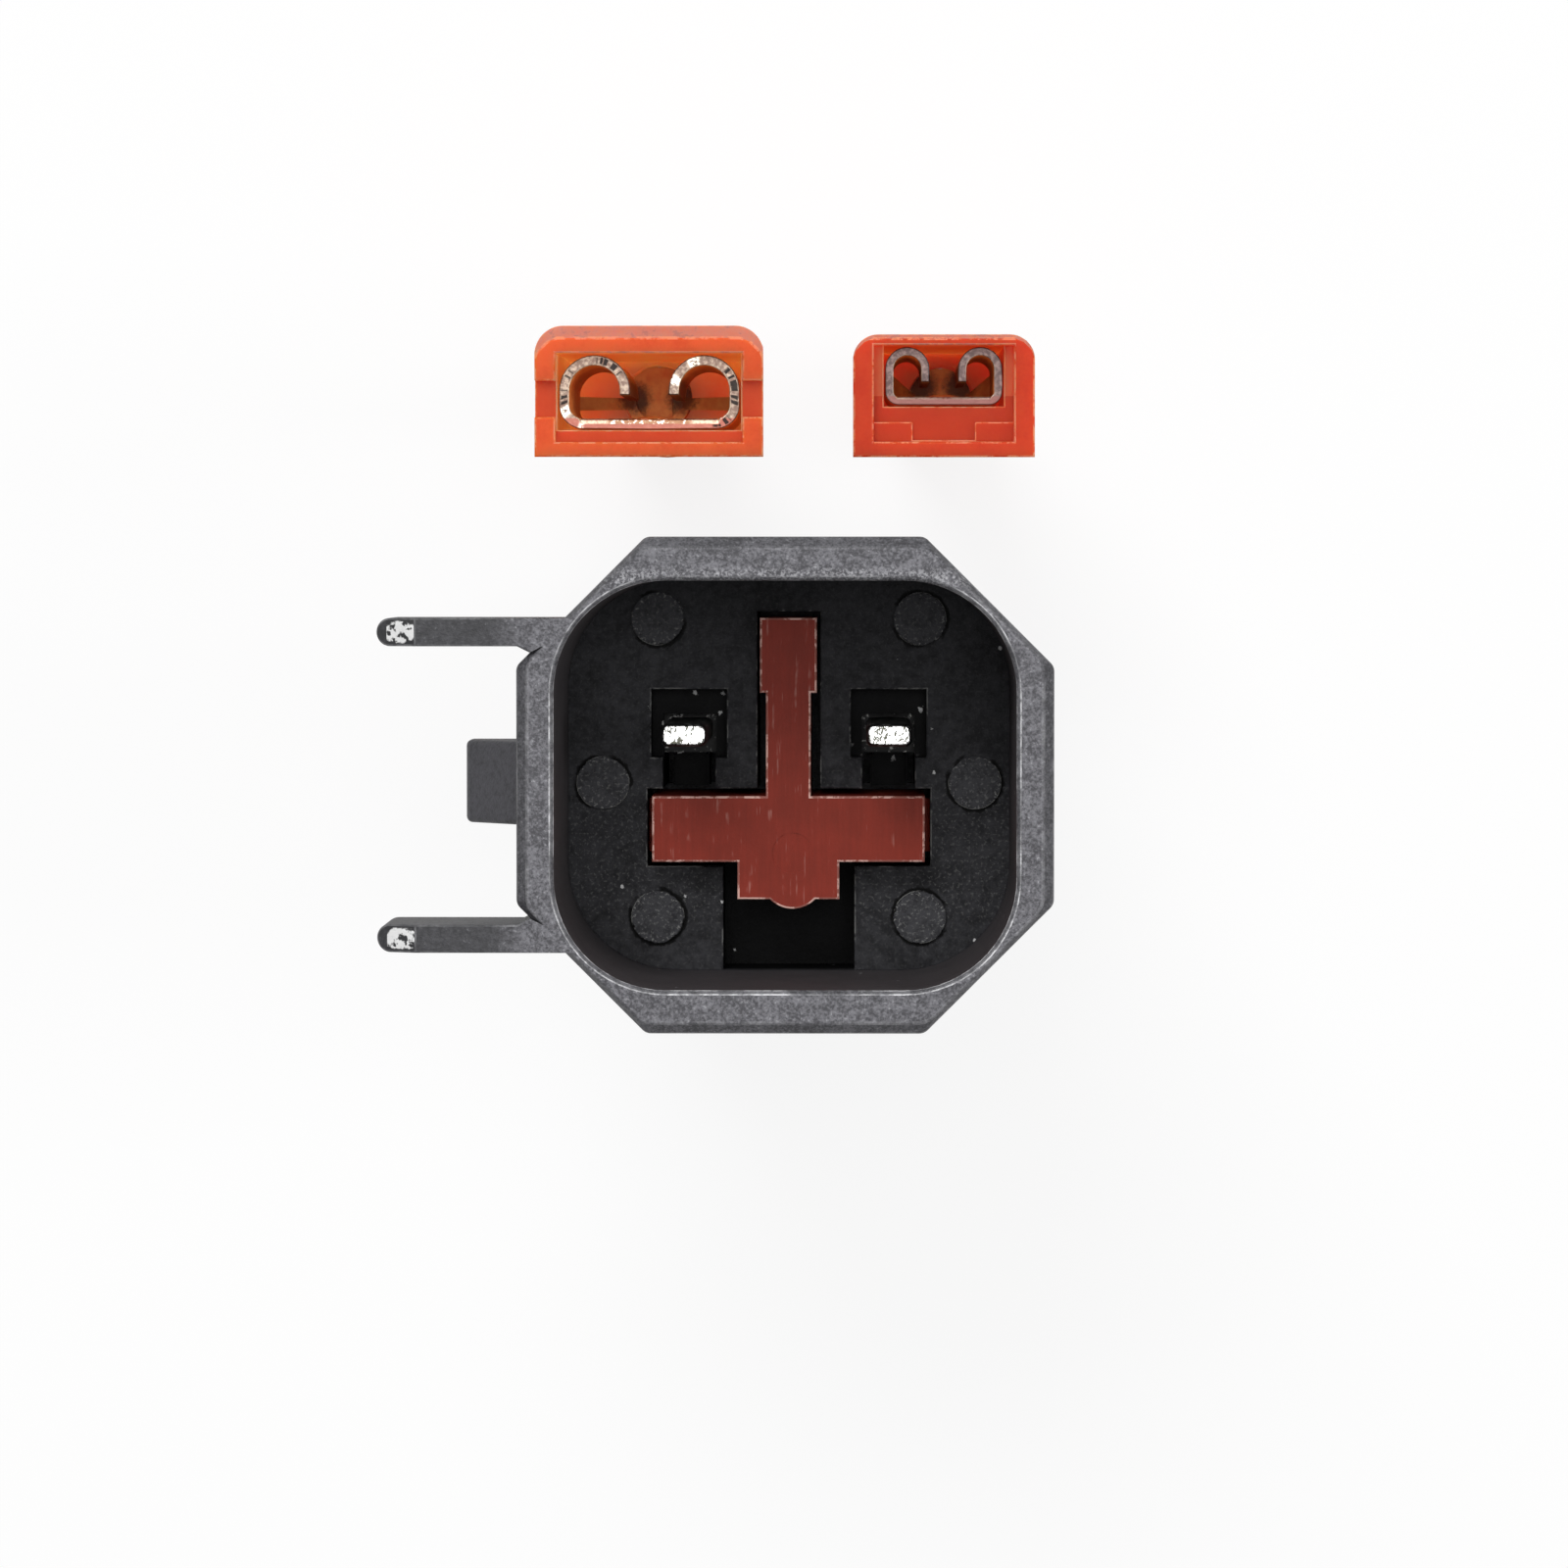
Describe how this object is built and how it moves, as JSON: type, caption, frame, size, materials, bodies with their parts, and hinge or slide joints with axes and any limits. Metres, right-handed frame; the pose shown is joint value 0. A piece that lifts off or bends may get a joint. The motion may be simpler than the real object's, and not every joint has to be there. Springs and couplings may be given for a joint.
{
  "type": "speaker harness adapter",
  "caption": "Speaker harness adapter ends: a black octagonal plug with blade contacts and a wedge lock, and orange insulated push-on terminals for a speaker's tabs.",
  "frame": {"origin": "middle of the plug's rear face, on which it stands with its socket up", "axes": "+Z out of the socket and of the terminals' mouths, -X towards the plug's latch side, +Y from the plug towards the terminals"},
  "size_m": [0.0217, 0.023, 0.03],
  "materials": {
    "black_nylon": "fine speckled moulding grain",
    "rust_plastic": "satin moulding with pale edges",
    "tinned_contact": "bright tin plating",
    "orange_nylon": "cloudy translucent nylon",
    "tinned_brass": "mottled tin over brass",
    "copper_sleeve": "plain rolled metal"
  },
  "bodies": {
    "root": {"plug_housing": "black_nylon", "wedge_lock": "rust_plastic", "left_blade_contact": "tinned_contact", "right_blade_contact": "tinned_contact", "large_insulator": "orange_nylon", "large_receptacle": "tinned_brass", "large_crimp_sleeve": "copper_sleeve", "small_insulator": "orange_nylon", "small_receptacle": "tinned_brass", "small_crimp_sleeve": "copper_sleeve"}
  },
  "joints": []
}
